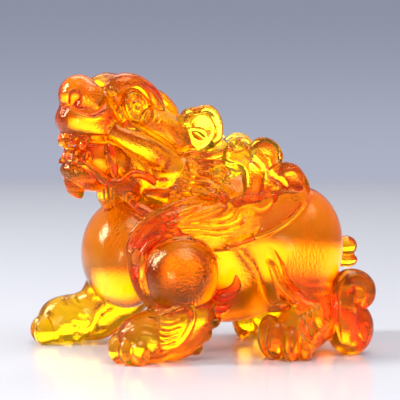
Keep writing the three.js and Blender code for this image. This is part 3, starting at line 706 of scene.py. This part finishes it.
# the skin
def drawSkin():
    # one corner in each grid cell that the skin crosses, at the middle of its crossings,
    # and one four-sided face across each crossed grid edge, turned outwards
    field, cell = clay["field"], clay["cell"]
    inside = field < 0
    n = [s - 1 for s in field.shape]
    filled = sum(inside[a:n[0] + a, b:n[1] + b, c:n[2] + c].astype(np.int8) for a, b, c in cube)
    crossed = (filled > 0) & (filled < 8)
    cells = np.stack(np.nonzero(crossed), 1)
    number = np.full(crossed.shape, -1, np.int64)
    number[crossed] = np.arange(len(cells))
    value = {k: field[cells[:, 0] + k[0], cells[:, 1] + k[1], cells[:, 2] + k[2]] for k in cube}
    total, hits = np.zeros((len(cells), 3)), np.zeros(len(cells))
    for start in cube:
        for axis in range(3):
            if start[axis]:
                continue
            end = tuple(v + (i == axis) for i, v in enumerate(start))
            a, b = value[start], value[end]
            meets = (a < 0) != (b < 0)
            spot = np.tile(np.array(start, float), (len(cells), 1))
            spot[:, axis] += a / np.where(meets, a - b, 1)
            total[meets] += spot[meets]
            hits[meets] += 1
    points = clay["low"] + cell * (cells + total / hits[:, None])
    faces = []
    for axis in range(3):
        u, v = (axis + 1) % 3, (axis + 2) % 3
        near, far = [slice(1, -1)] * 3, [slice(1, -1)] * 3
        near[axis], far[axis] = slice(0, -1), slice(1, None)
        a, b = inside[tuple(near)], inside[tuple(far)]
        edge = np.stack(np.nonzero(a != b), 1)
        out = a[a != b]
        edge[:, u] += 1
        edge[:, v] += 1
        ring = []
        for du, dv in ((-1, -1), (0, -1), (0, 0), (-1, 0)):
            at = edge.copy()
            at[:, u] += du
            at[:, v] += dv
            ring.append(number[at[:, 0], at[:, 1], at[:, 2]])
        ring = np.stack(ring, 1)
        faces.append(np.where(out[:, None], ring, ring[:, ::-1]))
    return points, np.vstack(faces)


def makeMesh(name, points, faces):
    mesh = bpy.data.meshes.new(name)
    mesh.vertices.add(len(points))
    mesh.vertices.foreach_set("co", np.asarray(points, np.float32).ravel())
    corners = faces.shape[1]
    mesh.loops.add(faces.size)
    mesh.loops.foreach_set("vertex_index", faces.astype(np.int32).ravel())
    mesh.polygons.add(len(faces))
    mesh.polygons.foreach_set("loop_start", np.arange(0, faces.size, corners, dtype=np.int32))
    mesh.update(calc_edges=True)
    mesh.validate()
    piece = bpy.data.objects.new(name, mesh)
    bpy.context.scene.collection.objects.link(piece)
    return piece


placing = {}    # how the drawn figure was put into metres


def inMetres(points):
    # the drawn figure is put on the solid: same height, and the middles of their outlines together
    low, high = points.min(0), points.max(0)
    lowSolid, highSolid = np.array(solidBox[0]), np.array(solidBox[1])
    scale = (highSolid[2] - lowSolid[2]) / (high[2] - low[2])
    print("drawn box", low, high, "scale", scale)
    placing.update(scale=scale, shift=(lowSolid + highSolid) / 2 - (low + high) / 2 * scale)
    return points * placing["scale"] + placing["shift"]


# pools where the amber is redder, below nothing, or yellower: the middle, radius and share of each
# pool, the frame that it is in, and whether it is on both sides. The redder pools are partly the
# glass's own red amber and partly painted shade, as on the flanks; the yellower pools are painted
# light glowing through thin parts such as the ears, the mane, the plumes and the paw set ahead
tintAndLightPools = [
    ((0, -26, 0), 22, -0.50, headPlace, False),      # muzzle
    ((0, -12, -16), 16, -0.45, headPlace, False),    # jaw
    ((11, 6, -10), 13, -0.30, headPlace, True),      # cheeks
    ((15, 15, 9), 12, 0.50, headPlace, True),        # ears
    ((25, -27, 32), 14, -0.40, bodyPlace, True),     # strands before the shoulders
    ((24, -4, 50), 18, -0.20, bodyPlace, True),      # wings
    ((30, -17, 11), 10, -0.40, bodyPlace, False),    # wrist
    ((25, 1, 20), 9, -0.30, bodyPlace, True),        # elbows
    ((22, 49, 14), 20, -0.50, bodyPlace, True),      # tail
    ((1, 52, 34), 8, -0.30, bodyPlace, False),       # its knob
    ((20, 4, 18), 16, -0.50, bodyPlace, True),       # flanks
    ((24, 34, 24), 14, -0.35, bodyPlace, True),      # haunches
    ((-24, -44, 8), 24, 0.45, bodyPlace, False),     # the paw set ahead
    ((16, -2, 62), 11, 0.35, bodyPlace, True),       # mane
    ((20, 12, 70), 11, 0.40, bodyPlace, True),       # plumes
    ((24, 28, 58), 9, -0.20, bodyPlace, True),       # the last plume
    ((25, -32, 5), 9, 0.15, bodyPlace, False),       # left forepaw
    ((28, 24, 5), 9, 0.30, bodyPlace, True),         # hind toes
    ((12, -24, 52), 12, -0.25, bodyPlace, True),     # collar
]


def nearbyDistance(points, reach=3):
    # the mean distance of the cube of cells round each point: above nothing on a ridge, and below
    # it in a furrow
    field = clay["field"]
    for axis in range(3):
        total = np.cumsum(field, axis=axis, dtype=np.float64)
        at = np.arange(field.shape[axis])
        upper = np.take(total, np.minimum(at + reach, len(at) - 1), axis)
        lower = np.take(total, np.maximum(at - reach - 1, 0), axis)
        field = ((upper - lower) / (2 * reach + 1)).astype(np.float32)
    spot = np.rint((points - clay["low"]) / clay["cell"]).astype(int)
    spot = np.clip(spot, 0, np.array(field.shape) - 1)
    exact = clay["field"][spot[:, 0], spot[:, 1], spot[:, 2]]
    return field[spot[:, 0], spot[:, 1], spot[:, 2]] - exact


def paintAmberToneAndLight(piece, ridge=0.7, limit=0.3):
    # an attribute from 0, red amber, to 1, yellow: a half, with (1 - (d / radius)^2)^2 of each
    # pool's share at the distance d from its middle, more on ridges as painted light and less in
    # furrows as painted shade, both within a limit
    points = np.empty(len(piece.data.vertices) * 3, np.float32)
    piece.data.vertices.foreach_get("co", points)
    points = (points.reshape(-1, 3) - placing["shift"]) / placing["scale"]
    # painted light on the ridges and painted shade in the furrows
    shade = 0.5 + np.clip(ridge * nearbyDistance(points), -limit, limit)
    # pools of the glass's own red amber, of painted shade and of painted light through thin parts
    for centre, radius, share, place, both in tintAndLightPools:
        for side in (1, -1) if both else (1,):
            away = ((points - placed(onSide(side, centre), place)) ** 2).sum(1) / radius ** 2
            shade = shade + share * np.clip(1 - away, 0, 1) ** 2
    layer = piece.data.attributes.new("amberToneAndLight", "FLOAT", "POINT")
    layer.data.foreach_set("value", np.clip(shade, 0, 1).astype(np.float32))
    print("amber shades from", shade.min(), "to", shade.max())


def thin(piece, triangles):
    count = sum(len(p.vertices) - 2 for p in piece.data.polygons)
    reduce = piece.modifiers.new("thin", "DECIMATE")
    reduce.ratio = min(1.0, triangles / count)
    bpy.context.view_layer.objects.active = piece
    piece.select_set(True)
    bpy.ops.object.modifier_apply(modifier=reduce.name)
    piece.select_set(False)
    piece.data.validate()    # thinning can leave a face twice
    print("casting thinned from", count, "to", len(piece.data.polygons))


def buildCasting():
    makeTrunk()
    for side in (1, -1):
        makeHindLeg(side)
        makeForeLeg(side)
        makeMane(side)
        makeWing(side)
        makeLegTufts(side)
    makeTail()
    makeHead()
    print("forms merged")
    for side in (1, -1):
        for comb in (combHead, combMane, combWing, combLegTufts, combHindLeg, combTail):
            comb(side)
    cutBelowTable()
    print("carving done")
    points, faces = drawSkin()
    print("skin", len(points), "corners", len(faces), "faces")
    piece = makeMesh("pixiuCasting", inMetres(points), faces)
    thin(piece, casting["triangles"])
    piece.data.polygons.foreach_set("use_smooth", np.ones(len(piece.data.polygons), bool))
    paintAmberToneAndLight(piece)
    return piece


# materials
glass = {
    "shades": ((0.0, (0.95, 0.08, 0.005)), (0.5, (1.0, 0.43, 0.012)), (1.0, (1.0, 0.74, 0.08))),
    "streaks": 0.16,                 # how far the shade wanders within a form
    "streakScale": 45.0,
    "streakTwist": 1.2,
    "streakBand": (0.3, 0.7),        # noise values of the least and the greatest shift
    "clear": 0.97,                   # the rest is milky
    "shine": (1.0, 0.76, 0.32),      # colour of straight-on reflections
    "roughness": 0.1,
    "ior": 1.5,
    "depth": 200.0,                  # how fast colour deepens, per metre
    "through": (0.99, 0.93, 0.0),    # what a thin layer lets through
    "grain": 1300.0,                 # grains of the satin skin, per metre
    "grainDetail": 2.0,
    "grainHeight": 0.00012,          # metres
}


def setInputs(node, values):
    for name, value in values.items():
        node.inputs[name].default_value = value


def setRange(node, taken, given):
    setInputs(node, {"From Min": taken[0], "From Max": taken[1],
                     "To Min": given[0], "To Max": given[1]})


def amberGlass():
    material = bpy.data.materials.new("amberGlass")
    material.use_nodes = True
    nodes, links = material.node_tree.nodes, material.node_tree.links
    skin = nodes["Principled BSDF"]
    setInputs(skin, {"Specular Tint": (*glass["shine"], 1), "Transmission Weight": glass["clear"],
                     "IOR": glass["ior"], "Roughness": glass["roughness"]})
    spot = nodes.new("ShaderNodeTexCoord")
    # the casting's amber tone, with its painted light and shade, read for the ramp below
    shade = nodes.new("ShaderNodeAttribute")
    shade.attribute_name = "amberToneAndLight"
    streak = nodes.new("ShaderNodeTexNoise")
    setInputs(streak, {"Scale": glass["streakScale"], "Distortion": glass["streakTwist"]})
    links.new(spot.outputs["Object"], streak.inputs["Vector"])
    wander = nodes.new("ShaderNodeMapRange")
    setRange(wander, glass["streakBand"], (-glass["streaks"], glass["streaks"]))
    links.new(streak.outputs["Fac"], wander.inputs["Value"])
    both = nodes.new("ShaderNodeMath")
    links.new(shade.outputs["Fac"], both.inputs[0])
    links.new(wander.outputs["Result"], both.inputs[1])
    ramp = nodes.new("ShaderNodeValToRGB")
    ramp.color_ramp.elements.new(glass["shades"][1][0])
    for stop, (place, colour) in zip(ramp.color_ramp.elements, glass["shades"]):
        stop.position, stop.color = place, (*colour, 1)
    links.new(both.outputs["Value"], ramp.inputs["Fac"])
    links.new(ramp.outputs["Color"], skin.inputs["Base Color"])
    grain = nodes.new("ShaderNodeTexNoise")
    setInputs(grain, {"Scale": glass["grain"], "Detail": glass["grainDetail"]})
    links.new(spot.outputs["Object"], grain.inputs["Vector"])
    satin = nodes.new("ShaderNodeBump")
    setInputs(satin, {"Distance": glass["grainHeight"], "Strength": 1.0})
    links.new(grain.outputs["Fac"], satin.inputs["Height"])
    links.new(satin.outputs["Normal"], skin.inputs["Normal"])
    body = nodes.new("ShaderNodeVolumeAbsorption")
    setInputs(body, {"Color": (*glass["through"], 1), "Density": glass["depth"]})
    links.new(body.outputs["Volume"], nodes["Material Output"].inputs["Volume"])
    return material


table = {
    "radius": 1.2,
    "pale": (0.61, 0.61, 0.63),
    "fade": (0.8, 1.1),         # it goes soft between these radii
    "roughness": 0.2,
    "gloss": 0.5,
    "around": 96,
    "rings": 24,
    "firstRing": 1e-5,          # radius
}


def paleTable():
    material = bpy.data.materials.new("paleTable")
    material.use_nodes = True
    nodes, links = material.node_tree.nodes, material.node_tree.links
    place = nodes.new("ShaderNodeTexCoord")
    length = nodes.new("ShaderNodeVectorMath")
    length.operation = "LENGTH"
    links.new(place.outputs["Object"], length.inputs[0])
    fade = nodes.new("ShaderNodeMapRange")
    fade.interpolation_type = "SMOOTHSTEP"
    setRange(fade, table["fade"], (1, 0))
    links.new(length.outputs["Value"], fade.inputs["Value"])
    skin = nodes["Principled BSDF"]
    links.new(fade.outputs["Result"], skin.inputs["Alpha"])
    setInputs(skin, {"Base Color": (*table["pale"], 1), "Roughness": table["roughness"],
                     "Specular IOR Level": table["gloss"]})
    return material


def makeTable():
    # a round sheet: rings of corners at radii r and angles a, from a very small first ring
    around, rings = table["around"], table["rings"]
    a = np.linspace(0, 2 * math.pi, around, endpoint=False)
    r = np.linspace(table["firstRing"], table["radius"], rings)
    grid = np.stack([np.outer(r, np.cos(a)), np.outer(r, np.sin(a)), np.zeros((rings, around))], 2)
    i, j = np.meshgrid(np.arange(rings - 1), np.arange(around), indexing="ij")
    k = (j + 1) % around
    quads = np.stack([i * around + j, (i + 1) * around + j, (i + 1) * around + k, i * around + k],
                     2).reshape(-1, 4)
    piece = makeMesh("table", grid.reshape(-1, 3), quads)
    piece.data.materials.append(paleTable())


# light and view
light = {
    "low": (0.425, 0.45, 0.565),     # paler near the table
    "lowFade": (-0.07, 0.045),       # it gives way between these heights of the direction
    "sky": (0.265, 0.285, 0.375),    # grey-blue round about
    "skyFade": (0.12, 0.8),
    "above": (0.5, 0.5, 0.53),       # pale again overhead
    "strength": 1.0,
    "aim": (0, 0, 0.05),             # what the softboxes face, in metres
}


def makeWorld():
    # the sky's colour goes by the height of the direction, with a smooth step from each to the next
    world = bpy.data.worlds.new("studio")
    bpy.context.scene.world = world
    world.use_nodes = True
    nodes, links = world.node_tree.nodes, world.node_tree.links
    way = nodes.new("ShaderNodeTexCoord")
    split = nodes.new("ShaderNodeSeparateXYZ")
    links.new(way.outputs["Generated"], split.inputs[0])
    colour = None
    for heights, first, last in (("lowFade", "low", "sky"), ("skyFade", "sky", "above")):
        rise = nodes.new("ShaderNodeMapRange")
        rise.interpolation_type = "SMOOTHSTEP"
        setRange(rise, light[heights], (0, 1))
        links.new(split.outputs["Z"], rise.inputs["Value"])
        mix = nodes.new("ShaderNodeMix")
        mix.data_type = "RGBA"
        setInputs(mix, {"A": (*light[first], 1), "B": (*light[last], 1)})
        if colour:
            links.new(colour, mix.inputs["A"])
        links.new(rise.outputs["Result"], mix.inputs["Factor"])
        colour = mix.outputs["Result"]
    back = nodes["Background"]
    links.new(colour, back.inputs["Color"])
    back.inputs["Strength"].default_value = light["strength"]


softboxes = {
    # azimuth and elevation in degrees, distance, width, height, power, and whether it is only for
    # what is seen through the glass
    "front": (-8, 34, 0.9, 0.15, 0.55, 11, False),
    "over": (120, 65, 0.9, 0.6, 0.6, 6, False),
    "side": (56, 2, 1.0, 0.12, 0.2, 2, False),
    "back": (-101, 60, 1.4, 1.0, 0.5, 8, False),
    "rear": (-101, 5, 0.9, 1.0, 0.26, 4.0, True),
}


def softbox(name, azimuth, elevation, distance, width, height, power, throughGlass):
    # a lit panel that faces the figure
    a, e = math.radians(azimuth), math.radians(elevation)
    way = np.array([math.sin(a) * math.cos(e), -math.cos(a) * math.cos(e), math.sin(e)])
    lamp = bpy.data.lights.new(name, "AREA")
    lamp.shape = "RECTANGLE"
    lamp.size, lamp.size_y, lamp.energy = width, height, power
    holder = bpy.data.objects.new(name, lamp)
    holder.location = np.array(light["aim"]) + way * distance
    holder.rotation_euler = Vector(way).to_track_quat("Z", "Y").to_euler()
    if throughGlass:
        holder.visible_camera = holder.visible_diffuse = holder.visible_glossy = False
    bpy.context.scene.collection.objects.link(holder)


view = {
    "azimuth": 79.0,
    "elevation": 4.5,
    "lens": 150.0,             # millimetres, as the sensor
    "sensor": 36.0,
    "imageWidth": 400,         # pixels
    "pixelsPerUnit": 2.8,
    "aim": (0.0, 0.0, 53.5),
    "shift": (-1.4, 0.0),      # of the aim, to the right and up in the image
    "clip": (0.01, 20),
}


def makeCamera():
    # the distance follows from the lens, the image's width and the pixels for each unit
    a, e = math.radians(view["azimuth"]), math.radians(view["elevation"])
    back = np.array([math.sin(a) * math.cos(e), -math.cos(a) * math.cos(e), math.sin(e)])
    right = np.array([math.cos(a), math.sin(a), 0.0])
    up = np.cross(back, right)
    distance = view["imageWidth"] / view["pixelsPerUnit"] * view["lens"] / view["sensor"]
    aim = np.array(view["aim"]) + view["shift"][0] * right + view["shift"][1] * up
    data = bpy.data.cameras.new("view")
    data.lens, data.sensor_width = view["lens"], view["sensor"]
    data.clip_start, data.clip_end = view["clip"]
    camera = bpy.data.objects.new("view", data)
    camera.location = (aim + back * distance) * placing["scale"] + placing["shift"]
    camera.rotation_euler = Vector(back).to_track_quat("Z", "Y").to_euler()
    bpy.context.scene.collection.objects.link(camera)
    bpy.context.scene.camera = camera


pixiu = buildCasting()
pixiu.data.materials.append(amberGlass())
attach(pixiu, "root")
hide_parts("pixiu_figure")
makeTable()
makeWorld()
for name, values in softboxes.items():
    softbox(name, *values)
makeCamera()
print("table, light and view made")

scene = bpy.context.scene
scene.view_settings.view_transform = "Standard"
scene.cycles.max_bounces = 24
scene.cycles.transmission_bounces = 20
scene.cycles.caustics_refractive = True
